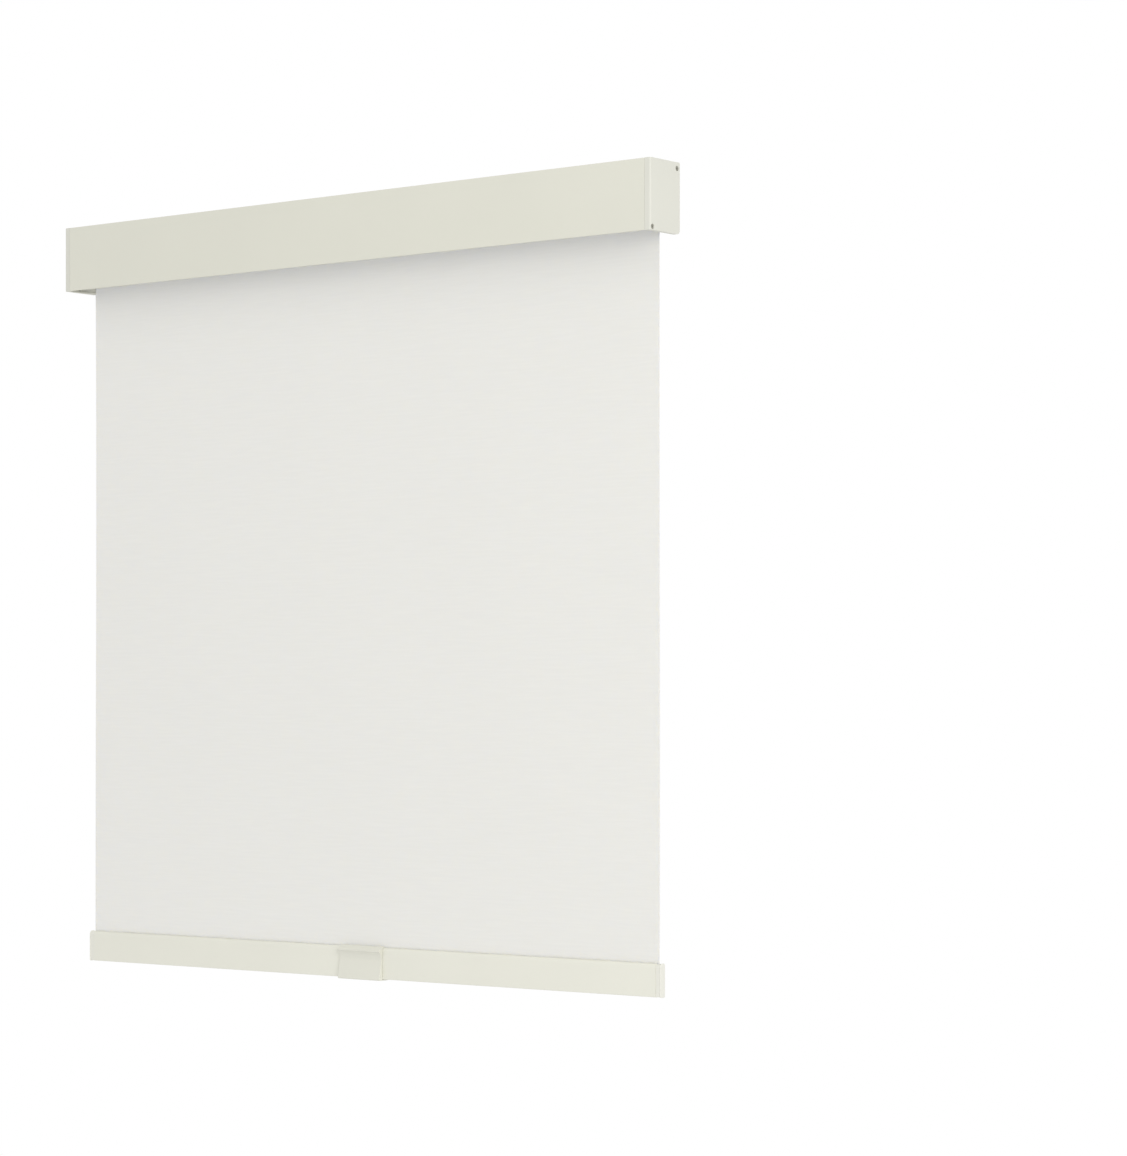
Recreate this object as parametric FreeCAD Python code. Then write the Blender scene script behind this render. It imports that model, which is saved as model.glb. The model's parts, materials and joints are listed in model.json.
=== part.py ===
import FreeCAD, Part
import math
import os

# Cordless roller shade in a square cassette.
# X runs along the shade, the front faces -Y and +Z is up. The origin is the middle of the
# ceiling screw pattern, on the face of the mounting brackets that meets the ceiling.
# All sizes are in millimetres.

V = FreeCAD.Vector

# Overall sizes
overall_width = 914.0
drop_length = 917.0
cassette_height = 79.0
cassette_depth = 54.0

# Cassette extrusion
extrusion_wall = 1.6
extrusion_edge_round = 0.6
top_plate_drop = 8.0
lip_drop = 3.5
lip_thickness = 1.2
front_lip_reach = 3.6
rear_rib_from_front = 40.0
rear_lip_reach = 2.8
port_wall = 1.45
port_mouth = 1.8
lower_port_from_front = 4.0
lower_port_from_bottom = 3.7
rear_port_from_back = 5.0
rear_port_drop = 6.8

# End caps of the cassette
cap_band = 8.0
cap_plate = 2.6
cap_skin = 1.8
cap_rim_depth = 3.0
cap_front_round = 2.0
cap_heel_round = 5.0
cap_edge_round = 0.8
cap_joint_gap = 0.2
cap_rib_thickness = 1.4
cap_rib_height = 2.4
seat_radius = 8.0
seat_height = 6.4
seat_floor = 1.5
spigot_length = 10.0
spigot_wall = 1.6
spigot_clearance = 0.2
front_spigot_height = 34.0
top_spigot_depth = 20.0

# Cap screws
screw_radius = 1.6
screw_port_clearance = 0.05
screw_hole_clearance = 0.4
screw_head_radius = 2.6
screw_head_height = 1.5
screw_head_clearance = 0.3
screw_head_sink = 0.4
screw_grip = 9.0

# Mounting brackets and their latches
bracket_inset = 157.0
bracket_width = 60.0
bracket_sheet = 1.5
bracket_bend_round = 1.2
hook_gap = 0.2
tongue_play = 0.5
tongue_length = 7.2
ear_width = 26.0
ear_length = 31.0
slot_radius = 2.5
slot_length = 12.0
ceiling_slot_offset = 15.0
ceiling_slot_pitch = 20.0
wall_slot_pitch = 12.0
wall_slot_drop = 12.0
latch_pivot_offset = 15.0
latch_gap = 0.2
latch_hub_radius = 7.5
latch_nose_angle = 35.0
latch_arm_thickness = 1.6
latch_arm_width = 8.0
latch_tip_from_back = 2.0
rivet_radius = 1.5
rivet_head_radius = 3.2
rivet_head_height = 0.9
running_clearance = 0.05

# Fabric
fabric_inset = 15.5
fabric_from_front = 37.5
fabric_thickness = 0.4
fabric_turn_gap = 0.45
wound_turns = 1.5
first_turn_gap = 0.2
tape_gap = 0.05
tape_arc = 50.0

# Roller tube
tube_radius = 12.7
tube_wall = 0.9
tube_overhang = 1.5
tube_key_height = 1.2
tube_key_width = 1.6
roller_drop = 40.0
plug_clearance = 0.1
key_clearance = 0.15
plug_flange = 2.0

# Idle end
idle_plug_length = 30.0
idle_pin_radius = 3.0
idle_pin_travel = 6.0
idle_pin_end_gap = 0.3
idle_collar_radius = 5.0
idle_collar_length = 2.0
idle_tail_radius = 1.8
idle_collar_seat = 8.0
idle_spring_wire = 0.5
retainer_thickness = 2.0
retainer_bore_clearance = 0.2

# Spring motor
shaft_radius = 3.0
spade_thickness = 4.6
spade_clearance = 0.1
bearing_plug_length = 24.0
anchor_gap = 6.0
anchor_length = 16.0
motor_hub_radius = 6.6
anchor_flange_radius = 10.6
anchor_flange = 3.0
spring_wire = 1.6
spring_length = 110.0
spring_hub_gap = 0.3
crown_length = 16.0
crown_neck = 10.0
brake_gap = 8.0
brake_cup_length = 24.0
brake_cup_wall = 1.8
brake_floor = 3.0
brake_hub_radius = 6.0
brake_wire = 1.4
brake_spring_length = 14.0
clip_gap = 0.4
clip_thickness = 1.0
clip_radius = 5.5
clip_groove_depth = 0.6

# Bottom rail
rail_height = 37.0
rail_front_reach = 5.0
rail_back_reach = 3.0
rail_overhang = 5.4
rail_wall = 1.1
rail_front_round = 4.2
rail_back_round = 1.8
rail_bottom_round = 1.0
rail_inner_round = 0.4
channel_radius = 2.3
channel_wall = 1.0
channel_drop = 4.6
rail_slot = 1.4
rail_cap_band = 7.3
rail_cap_flange = 1.2
rail_cap_bevel = 0.5
rail_cap_proud = 0.3
rail_cap_recess = 0.3
rail_cap_gap = 0.1
rail_spigot_length = 12.0
rail_spigot_clearance = 0.15
spline_radius = 1.4
hem_gap = 0.05
hem_end_inset = 1.0
fabric_rail_gap = 0.3

# Finger pull
pull_width = 65.0
pull_offset = 9.5
pull_clearance = 0.2
pull_floor = 1.2
pull_top = 1.3
pull_top_reach = 3.0
pull_heel = 1.5
pull_heel_rise = 3.0
pull_lip_reach = 6.8
pull_lip_drop = 3.4
pull_lip_thickness = 1.8
pull_groove_reach = 2.7
pull_groove_drop = 16.5
pull_foot_reach = 6.0
pull_foot_round = 1.4

# Places worked out from the sizes above
half_width = overall_width / 2
front_y = -cassette_depth / 2
back_y = cassette_depth / 2
cassette_bottom = -cassette_height
extrusion_half = half_width - cap_band
bracket_middle = half_width - bracket_inset
port_bore_radius = screw_radius + screw_port_clearance
port_radius = port_bore_radius + port_wall
lower_port = (front_y + lower_port_from_front, cassette_bottom + lower_port_from_bottom)
rear_port = (back_y - rear_port_from_back, -rear_port_drop)
lip_bottom = -lip_drop - lip_thickness
rear_rib_y = front_y + rear_rib_from_front
tongue_top = lip_bottom - hook_gap
tongue_bottom = tongue_top - bracket_sheet

fabric_half = half_width - fabric_inset
fabric_y = front_y + fabric_from_front
tape_radius = tube_radius + first_turn_gap - tape_gap
turn_pitch = fabric_thickness + fabric_turn_gap
roll_radius = tube_radius + first_turn_gap + fabric_thickness / 2 + turn_pitch * wound_turns
axis_y = fabric_y - roll_radius
axis_z = -roller_drop
tube_half = fabric_half + tube_overhang
tube_bore = tube_radius - tube_wall
plug_radius = tube_bore - plug_clearance
flange_end = tube_half + plug_flange
seat_face = half_width - cap_plate - seat_height
seat_bottom = half_width - seat_floor
idle_bore_radius = idle_pin_radius + running_clearance
shaft_bore_radius = shaft_radius + running_clearance
collar_bore_radius = idle_collar_radius + running_clearance

collar_start = -flange_end + idle_collar_seat + running_clearance

# The motor's places along the shaft, from the right end inwards
plug_inner_x = tube_half - bearing_plug_length
anchor_x1 = plug_inner_x - anchor_gap
anchor_x0 = anchor_x1 - anchor_length
spring_x1 = anchor_x1 - anchor_flange - spring_hub_gap
spring_x0 = spring_x1 - spring_length
crown_x1 = spring_x0 - spring_hub_gap
crown_x0 = crown_x1 - crown_length
brake_x1 = crown_x0 - brake_gap
brake_x0 = brake_x1 - brake_cup_length
clip_x1 = brake_x0 - clip_gap
clip_x0 = clip_x1 - clip_thickness
shaft_x0 = clip_x0 - shaft_radius

rail_bottom = -drop_length
rail_top = rail_bottom + rail_height
rail_front_y = fabric_y - rail_front_reach
rail_back_y = fabric_y + rail_back_reach
rail_half = fabric_half + rail_overhang
rail_extrusion_half = rail_half - rail_cap_band
channel_z = rail_top - channel_drop
channel_ring_radius = channel_radius + channel_wall

# How far a cutting solid runs past what it cuts, and how far a joined solid reaches in
overrun = 1.0
bite = 0.5


# Building blocks

def block(x0, x1, y0, y1, z0, z1):
    return Part.makeBox(x1 - x0, y1 - y0, z1 - z0, V(x0, y0, z0))


def rod_x(centre, radius, x0, x1):
    """A round bar along X about a (y, z) centre."""
    return Part.makeCylinder(radius, x1 - x0, V(x0, centre[0], centre[1]), V(1, 0, 0))


def rod_z(x, y, radius, z0, z1):
    return Part.makeCylinder(radius, z1 - z0, V(x, y, z0), V(0, 0, 1))


def prism_x(points, x0, x1):
    """Extrude a closed (y, z) outline along X."""
    corners = [V(x0, y, z) for y, z in points]
    corners.append(corners[0])
    return Part.Face(Part.makePolygon(corners)).extrude(V(x1 - x0, 0, 0))


def rectangle(y0, y1, z0, z1):
    return [(y0, z0), (y1, z0), (y1, z1), (y0, z1)]


def is_along(edge, axis):
    """True for a straight edge that runs along the axis, given as 0, 1 or 2."""
    if not isinstance(edge.Curve, (Part.Line, Part.LineSegment)):
        return False
    run = edge.Vertexes[-1].Point.sub(edge.Vertexes[0].Point)
    return abs(abs(run[axis]) - run.Length) < 1e-6


def round_along_x(shape, corners, radius):
    """Round the edges along X that pass through the given (y, z) corners."""
    chosen = []
    for edge in shape.Edges:
        if not is_along(edge, 0):
            continue
        spot = edge.Vertexes[0].Point
        if any(math.hypot(spot.y - y, spot.z - z) < 1e-4 for y, z in corners):
            chosen.append(edge)
    return shape.makeFillet(radius, chosen)


def mirrored(shape):
    """The left-hand twin of a right-hand piece."""
    return shape.mirror(V(0, 0, 0), V(1, 0, 0))


def slot_z(x, y, radius, length, z0, z1):
    """A slotted hole along X, cut down through a plate."""
    reach = length / 2 - radius
    return Part.makeCompound([
        rod_z(x - reach, y, radius, z0, z1),
        rod_z(x + reach, y, radius, z0, z1),
        block(x - reach, x + reach, y - radius, y + radius, z0, z1)])


def slot_y(x, z, radius, length, y0, y1):
    """A slotted hole along X, cut through an upright plate."""
    reach = length / 2 - radius
    ends = [Part.makeCylinder(radius, y1 - y0, V(x + side * reach, y0, z), V(0, 1, 0))
            for side in (-1, 1)]
    return Part.makeCompound(ends + [block(x - reach, x + reach, y0, y1, z - radius, z + radius)])


def cut_each(shape, tools):
    for tool in tools:
        for solid in tool.Solids:
            shape = shape.cut(solid)
    return shape


# Cassette

def port_ring(centre, mouth_side, x0, x1):
    """A screw port: a C-shaped ring whose mouth opens towards (y, z) mouth_side."""
    ring = rod_x(centre, port_radius, x0, x1)
    return ring, port_cut(centre, mouth_side, x0, x1)


def port_cut(centre, mouth_side, x0, x1):
    """The bore and the mouth of a screw port."""
    bore = rod_x(centre, port_bore_radius, x0, x1)
    reach = port_radius + overrun
    half = port_mouth / 2
    if mouth_side[0]:
        low, high = sorted((centre[0], centre[0] + mouth_side[0] * reach))
        mouth = block(x0, x1, low, high, centre[1] - half, centre[1] + half)
    else:
        low, high = sorted((centre[1], centre[1] + mouth_side[1] * reach))
        mouth = block(x0, x1, centre[0] - half, centre[0] + half, low, high)
    return bore.fuse(mouth)


def make_fascia_profile():
    """Front plate and recessed top plate of the cassette, one extrusion with two screw ports."""
    x0 = -extrusion_half + cap_joint_gap
    x1 = extrusion_half - cap_joint_gap
    inner_y = front_y + extrusion_wall
    plate_top = -top_plate_drop
    plate_bottom = plate_top - extrusion_wall
    outline = [
        (front_y, 0), (front_y, cassette_bottom), (inner_y, cassette_bottom),
        (inner_y, plate_bottom), (rear_port[0], plate_bottom), (rear_port[0], plate_top),
        (rear_rib_y, plate_top), (rear_rib_y, -lip_drop),
        (rear_rib_y - extrusion_wall - rear_lip_reach, -lip_drop),
        (rear_rib_y - extrusion_wall - rear_lip_reach, lip_bottom),
        (rear_rib_y - extrusion_wall, lip_bottom), (rear_rib_y - extrusion_wall, plate_top),
        (inner_y, plate_top), (inner_y, lip_bottom),
        (inner_y + front_lip_reach, lip_bottom), (inner_y + front_lip_reach, -lip_drop),
        (inner_y, -lip_drop), (inner_y, 0)]
    body = prism_x(outline, x0, x1)
    body = round_along_x(body, [(front_y, 0), (front_y, cassette_bottom)], extrusion_edge_round)
    body = round_along_x(body, [(inner_y, plate_bottom)], extrusion_wall)
    rear_ring, rear_cut = port_ring(rear_port, (1, 0), x0, x1)
    lower_ring, lower_cut = port_ring(lower_port, (0, 1), x0, x1)
    body = body.fuse([rear_ring, lower_ring])
    return body.cut(rear_cut.fuse(lower_cut)).removeSplitter()


def cap_outline_solid(inset, x0, x1):
    """The cap's side outline, rounded at its heel, made smaller all round by inset."""
    corners = rectangle(front_y + inset, back_y - inset, cassette_bottom + inset, -inset)
    heel = (back_y - inset, cassette_bottom + inset)
    return round_along_x(prism_x(corners, x0, x1), [heel],
                         max(cap_heel_round - inset, cap_edge_round))


def cap_shell():
    """Side plate with a wide front and top return and a low rim behind and below."""
    x_in = extrusion_half
    plate_in = half_width - cap_plate
    shell = round_along_x(cap_outline_solid(0, x_in, half_width), [(back_y, 0)], cap_edge_round)
    front_edges = [edge for edge in shell.Edges
                   if is_along(edge, 2)
                   and edge.Vertexes[0].Point.x > half_width - 1e-4
                   and edge.Vertexes[0].Point.y < front_y + 1e-4]
    shell = shell.makeFillet(cap_front_round, front_edges)
    shell = shell.cut(cap_outline_solid(cap_skin, x_in - overrun, plate_in))
    spare = block(x_in - overrun, plate_in - cap_rim_depth, front_y + cap_skin, back_y + overrun,
                  cassette_bottom - overrun, -cap_skin)
    return shell.cut(spare)


def cap_boss(port, x1):
    """A square boss that a cap screw runs through, joined to the nearest upright rim."""
    y0, y1 = sorted((port[0] - math.copysign(port_radius, port[0]),
                     port[0] + math.copysign(port_radius + bite, port[0])))
    return block(extrusion_half, x1, y0, y1, port[1] - port_radius, port[1] + port_radius)


def cap_ribs():
    """Four ribs that tie the roller seat to the rim."""
    x1 = half_width - cap_plate
    x0 = x1 - cap_rib_height
    half = cap_rib_thickness / 2
    upright = block(x0, x1 + bite, axis_y - half, axis_y + half,
                    cassette_bottom + cap_skin / 2, -cap_skin / 2)
    level = block(x0, x1 + bite, front_y + cap_skin / 2, back_y - cap_skin / 2,
                  axis_z - half, axis_z + half)
    return [upright, level]


def cap_spigots():
    """Two tongues that slip inside the extrusion and hold the cap in line."""
    x0 = extrusion_half - spigot_length
    x1 = half_width - cap_plate + bite
    y0 = front_y + extrusion_wall + spigot_clearance
    front = block(x0, x1, y0, y0 + spigot_wall, axis_z - front_spigot_height / 2,
                  axis_z + front_spigot_height / 2)
    z1 = -top_plate_drop - extrusion_wall - spigot_clearance
    top = block(x0, x1, axis_y - top_spigot_depth / 2, axis_y + top_spigot_depth / 2,
                z1 - spigot_wall, z1)
    return [front, top]


def make_end_cap():
    """The right-hand end cap without its bore for the roller."""
    plate_in = half_width - cap_plate
    cap = cap_shell()
    bosses = [cap_boss(port, plate_in + bite) for port in (rear_port, lower_port)]
    seat = rod_x((axis_y, axis_z), seat_radius, seat_face, plate_in + bite)
    cap = cap.fuse(bosses + [seat] + cap_ribs() + cap_spigots())
    for port in (rear_port, lower_port):
        hole = rod_x(port, screw_radius + screw_hole_clearance, extrusion_half - overrun,
                     half_width + overrun)
        pocket_depth = screw_head_sink + screw_head_height
        pocket = rod_x(port, screw_head_radius + screw_head_clearance,
                       half_width - pocket_depth, half_width + overrun)
        cap = cap.cut(hole).cut(pocket)
    return cap.removeSplitter()


def make_end_cap_right():
    """The cap whose seat holds the flat end of the spring shaft."""
    socket = rod_x((axis_y, axis_z), shaft_radius + spade_clearance, seat_face - overrun, seat_bottom)
    half = spade_thickness / 2 + spade_clearance
    flats = block(seat_face - overrun, seat_bottom, axis_y - half, axis_y + half,
                  axis_z - seat_radius, axis_z + seat_radius)
    return make_end_cap().cut(socket.common(flats))


def make_end_cap_left():
    """The cap whose seat holds the idle pin."""
    bore = rod_x((axis_y, axis_z), idle_bore_radius, seat_face - overrun, seat_bottom)
    return mirrored(make_end_cap().cut(bore))


def make_cap_screws():
    """The two self-tapping screws of the right-hand cap."""
    head_out = half_width - screw_head_sink
    head_in = head_out - screw_head_height
    screws = []
    for port in (rear_port, lower_port):
        head = rod_x(port, screw_head_radius, head_in, head_out)
        shank = rod_x(port, screw_radius, extrusion_half - screw_grip, head_in + bite)
        screws.append(head.fuse(shank).removeSplitter())
    return Part.makeCompound(screws)


# Mounting brackets

def bracket_outline():
    """Side outline of the bent sheet: a front tongue under the lip, a riser and a flat plate."""
    tongue_y = front_y + extrusion_wall + tongue_play
    riser_y = tongue_y + tongue_length
    return [
        (tongue_y, tongue_bottom), (riser_y, tongue_bottom), (riser_y, -bracket_sheet),
        (back_y, -bracket_sheet), (back_y, 0), (riser_y - bracket_sheet, 0),
        (riser_y - bracket_sheet, tongue_top), (tongue_y, tongue_top)]


def make_mounting_bracket():
    """The right-hand bracket: a ceiling plate with slots, and a wall ear on its inner side."""
    x0 = bracket_middle - bracket_width / 2
    x1 = bracket_middle + bracket_width / 2
    outline = bracket_outline()
    body = prism_x(outline, x0, x1)
    body = round_along_x(body, [outline[1], outline[5]], bracket_bend_round)
    ear = block(x0, x0 + ear_width, back_y - bracket_sheet, back_y, -ear_length, -bracket_sheet)
    body = body.fuse(ear).removeSplitter()
    slot_x = bracket_middle - ceiling_slot_offset
    cuts = [slot_z(slot_x, side * ceiling_slot_pitch / 2, slot_radius, slot_length,
                   -bracket_sheet - overrun, overrun) for side in (-1, 1)]
    ear_middle = x0 + ear_width / 2
    cuts += [slot_y(ear_middle, -wall_slot_drop - row * wall_slot_pitch, slot_radius, slot_length,
                    back_y - bracket_sheet - overrun, back_y + overrun) for row in (0, 1)]
    pivot_x = bracket_middle + latch_pivot_offset
    cuts.append(rod_z(pivot_x, 0, rivet_radius + running_clearance, -bracket_sheet - overrun, overrun))
    return cut_each(body, cuts)


def make_latch_lever():
    """Turning latch of the right-hand bracket: a cam nose under the rear lip and a finger arm."""
    pivot_x = bracket_middle + latch_pivot_offset
    arm_top = -bracket_sheet - latch_gap
    arm_bottom = arm_top - latch_arm_thickness
    nose_radius = rear_rib_y - extrusion_wall - latch_gap
    hub = rod_z(pivot_x, 0, latch_hub_radius, tongue_bottom, arm_top)
    lean = math.radians(latch_nose_angle)
    span = nose_radius * math.tan(lean)
    wedge = Part.Face(Part.makePolygon([
        V(pivot_x, 0, tongue_bottom), V(pivot_x + span, nose_radius, tongue_bottom),
        V(pivot_x - span, nose_radius, tongue_bottom), V(pivot_x, 0, tongue_bottom)]))
    wedge = wedge.extrude(V(0, 0, tongue_top - tongue_bottom))
    nose = rod_z(pivot_x, 0, nose_radius, tongue_bottom, tongue_top).common(wedge)
    tip_y = back_y - latch_tip_from_back - latch_arm_width / 2
    arm = block(pivot_x - latch_arm_width / 2, pivot_x + latch_arm_width / 2, 0, tip_y,
                arm_bottom, arm_top)
    tip = rod_z(pivot_x, tip_y, latch_arm_width / 2, arm_bottom, arm_top)
    lever = hub.fuse([nose, arm, tip]).removeSplitter()
    return lever.cut(rod_z(pivot_x, 0, rivet_radius + running_clearance,
                           tongue_bottom - overrun, arm_top + overrun))


def make_latch_rivet():
    """The rivet that the right-hand latch turns on, set flush in the bracket's plate."""
    pivot_x = bracket_middle + latch_pivot_offset
    head_top = tongue_bottom - running_clearance
    shank = rod_z(pivot_x, 0, rivet_radius, head_top - rivet_head_height / 2, 0)
    head = rod_z(pivot_x, 0, rivet_head_radius, head_top - rivet_head_height, head_top)
    return shank.fuse(head).removeSplitter()


# Roller

def key_bars(height, width, x0, x1):
    """The two keys inside the tube, or with larger sizes the notches that take them."""
    reach = tube_bore - height
    outer = tube_bore + tube_wall / 2
    half = width / 2
    return [block(x0, x1, axis_y - half, axis_y + half, axis_z + reach, axis_z + outer),
            block(x0, x1, axis_y - half, axis_y + half, axis_z - outer, axis_z - reach)]


def make_roller_tube():
    """Aluminium tube with two inner keys that drive the plugs."""
    centre = (axis_y, axis_z)
    tube = rod_x(centre, tube_radius, -tube_half, tube_half)
    tube = tube.cut(rod_x(centre, tube_bore, -tube_half - overrun, tube_half + overrun))
    keys = [key.common(rod_x(centre, tube_radius - tube_wall / 2, -tube_half, tube_half))
            for key in key_bars(tube_key_height, tube_key_width, -tube_half, tube_half)]
    return tube.fuse(keys).removeSplitter()


def notched(shape, x0, x1):
    """Cut the two key notches into a plug."""
    notches = key_bars(tube_key_height + key_clearance, tube_key_width + 2 * key_clearance,
                       x0, x1)
    return cut_each(shape, notches)


def end_plug(length, side):
    """A plug with a flange that closes the tube's end on the given side, -1 or 1."""
    centre = (axis_y, axis_z)
    spans = [sorted((side * tube_half, side * flange_end)),
             sorted((side * tube_half, side * (tube_half - length)))]
    flange = rod_x(centre, tube_radius, *spans[0])
    body = notched(rod_x(centre, plug_radius, *spans[1]), spans[1][0] - overrun, spans[1][1] + overrun)
    return flange.fuse(body).removeSplitter()


def make_idle_plug():
    """Left plug: a stepped bore for the idle pin, its collar and its spring."""
    centre = (axis_y, axis_z)
    plug = end_plug(idle_plug_length, -1)
    pin_bore = rod_x(centre, idle_bore_radius, -flange_end - overrun,
                     -flange_end + idle_collar_seat + bite)
    collar_bore = rod_x(centre, collar_bore_radius, -flange_end + idle_collar_seat,
                        -tube_half + idle_plug_length + overrun)
    return plug.cut(pin_bore.fuse(collar_bore))


def make_idle_pin():
    """Left pin: its nose sits in the cap's seat and its collar behind the plug's shoulder."""
    centre = (axis_y, axis_z)
    spring_seat = collar_start + idle_collar_length
    tail_end = -tube_half + idle_plug_length - retainer_thickness - idle_pin_travel / 2
    nose_end = -seat_bottom + idle_pin_end_gap
    nose = rod_x(centre, idle_pin_radius, nose_end, collar_start + bite)
    collar = rod_x(centre, idle_collar_radius, collar_start, spring_seat)
    tail = rod_x(centre, idle_tail_radius, spring_seat - bite, tail_end)
    return nose.fuse([collar, tail]).removeSplitter()


def make_idle_pin_spring():
    """Compression spring between the pin's collar and the retainer, as its envelope."""
    centre = (axis_y, axis_z)
    x0 = collar_start + idle_collar_length + running_clearance
    x1 = -tube_half + idle_plug_length - retainer_thickness - running_clearance
    inner = idle_collar_radius - 2 * idle_spring_wire
    sleeve = rod_x(centre, idle_collar_radius, x0, x1)
    return sleeve.cut(rod_x(centre, inner, x0 - overrun, x1 + overrun))


def make_idle_retainer():
    """Disc pressed into the plug's bore, which the spring pushes against."""
    centre = (axis_y, axis_z)
    x1 = -tube_half + idle_plug_length
    disc = rod_x(centre, collar_bore_radius, x1 - retainer_thickness, x1)
    return disc.cut(rod_x(centre, idle_tail_radius + retainer_bore_clearance,
                          x1 - retainer_thickness - overrun, x1 + overrun))


# Spring motor

def make_bearing_plug():
    """Right plug, which turns on the shaft."""
    centre = (axis_y, axis_z)
    return end_plug(bearing_plug_length, 1).cut(
        rod_x(centre, shaft_bore_radius, plug_inner_x - overrun, flange_end + overrun))


def make_spring_shaft():
    """Steel shaft held still by the right cap, with two flats at its end and a clip groove."""
    centre = (axis_y, axis_z)
    end_x = seat_bottom - idle_pin_end_gap
    shaft = rod_x(centre, shaft_radius, shaft_x0, end_x)
    half = spade_thickness / 2
    for side in (-1, 1):
        low, high = sorted((axis_y + side * half, axis_y + side * (shaft_radius + overrun)))
        shaft = shaft.cut(block(seat_face - bite, end_x + overrun, low, high,
                                axis_z - seat_radius, axis_z + seat_radius))
    groove = rod_x(centre, shaft_radius + overrun, clip_x0, clip_x1)
    groove = groove.cut(rod_x(centre, shaft_radius - clip_groove_depth, clip_x0, clip_x1))
    return shaft.cut(groove)


def make_spring_anchor():
    """Hub pinned to the shaft, which holds the outer end of the spring still."""
    centre = (axis_y, axis_z)
    hub = rod_x(centre, motor_hub_radius, anchor_x0, anchor_x1)
    flange = rod_x(centre, anchor_flange_radius, anchor_x1 - anchor_flange, anchor_x1)
    hub = hub.fuse(flange).removeSplitter()
    return hub.cut(rod_x(centre, shaft_radius, anchor_x0 - overrun, anchor_x1 + overrun))


def make_torsion_spring():
    """The close-wound lifting spring as its envelope, gripping the crown's neck and the anchor."""
    centre = (axis_y, axis_z)
    inner = motor_hub_radius + spring_hub_gap
    sleeve = rod_x(centre, inner + spring_wire, spring_x0, spring_x1)
    return sleeve.cut(rod_x(centre, inner, spring_x0 - overrun, spring_x1 + overrun))


def make_spring_crown():
    """Keyed to the tube, it turns the inner end of the spring."""
    centre = (axis_y, axis_z)
    crown = notched(rod_x(centre, plug_radius, crown_x0, crown_x1), crown_x0 - overrun, crown_x1 + overrun)
    neck = rod_x(centre, motor_hub_radius, crown_x1 - bite, crown_x1 + crown_neck)
    crown = crown.fuse(neck).removeSplitter()
    return crown.cut(rod_x(centre, shaft_bore_radius, crown_x0 - overrun, crown_x1 + crown_neck + overrun))


def make_brake_cup():
    """Keyed to the tube, it drags on the brake spring as it turns."""
    centre = (axis_y, axis_z)
    cup = notched(rod_x(centre, plug_radius, brake_x0, brake_x1), brake_x0 - overrun, brake_x1 + overrun)
    bore = plug_radius - tube_key_height - key_clearance - brake_cup_wall
    cup = cup.cut(rod_x(centre, bore, brake_x0 + brake_floor, brake_x1 + overrun))
    return cup.cut(rod_x(centre, shaft_bore_radius, brake_x0 - overrun, brake_x1 + overrun))


def make_brake_hub():
    """Fixed on the shaft inside the cup, under the wrap spring."""
    centre = (axis_y, axis_z)
    x0 = brake_x0 + brake_floor + clip_gap
    x1 = brake_x1 + brake_gap / 2
    return rod_x(centre, brake_hub_radius, x0, x1).cut(
        rod_x(centre, shaft_radius, x0 - overrun, x1 + overrun))


def make_brake_spring():
    """The close-wound wrap spring on the brake hub, as its envelope."""
    centre = (axis_y, axis_z)
    inner = brake_hub_radius + running_clearance
    x0 = (brake_x0 + brake_floor + brake_x1 - brake_spring_length) / 2
    x1 = x0 + brake_spring_length
    return rod_x(centre, inner + brake_wire, x0, x1).cut(rod_x(centre, inner, x0 - overrun, x1 + overrun))


def make_shaft_clip():
    """Open spring clip in the shaft's groove."""
    centre = (axis_y, axis_z)
    clip = rod_x(centre, clip_radius, clip_x0, clip_x1)
    clip = clip.cut(rod_x(centre, shaft_radius - clip_groove_depth, clip_x0 - overrun, clip_x1 + overrun))
    mouth = shaft_radius - clip_groove_depth
    return clip.cut(block(clip_x0 - overrun, clip_x1 + overrun, axis_y - mouth, axis_y + mouth,
                          axis_z - clip_radius - overrun, axis_z))


# Fabric

def spiral_radius(turn):
    """Mid-thickness radius of the wound fabric, turns counted inwards from where it hangs."""
    return roll_radius - turn_pitch * turn


def spiral_point(turn, side):
    """A point on the fabric's inner (side -1) or outer (side 1) face."""
    angle = 2 * math.pi * turn
    radius = spiral_radius(turn) + side * fabric_thickness / 2
    return V(-fabric_half, axis_y + radius * math.cos(angle), axis_z + radius * math.sin(angle))


def make_fabric_roll():
    """The turns left on the tube when the shade is down: one unbroken spiral band of arcs."""
    arcs = round(wound_turns * 4)
    step = wound_turns / arcs
    edges = []
    for side in (-1, 1):
        for index in range(arcs):
            start = index * step
            points = [spiral_point(start + part * step, side) for part in (0, 0.5, 1)]
            edges.append(Part.Arc(*points).toShape())
    for turn in (0, wound_turns):
        edges.append(Part.LineSegment(spiral_point(turn, -1), spiral_point(turn, 1)).toShape())
    return Part.Face(Part.Wire(Part.__sortEdges__(edges))).extrude(V(2 * fabric_half, 0, 0))


def print_turn_gap():
    """Measure the least gap between one turn of the fabric and the next."""
    steps = 360
    outer = [spiral_point(wound_turns * step / steps, 1) for step in range(steps + 1)]
    inner = [spiral_point(wound_turns * step / steps, -1) for step in range(steps + 1)]
    least = min((a - b).Length for i, a in enumerate(outer) for j, b in enumerate(inner)
                if abs(i - j) * wound_turns / steps > 0.5)
    print("least gap between turns of the fabric: %.3f mm" % least)


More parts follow.
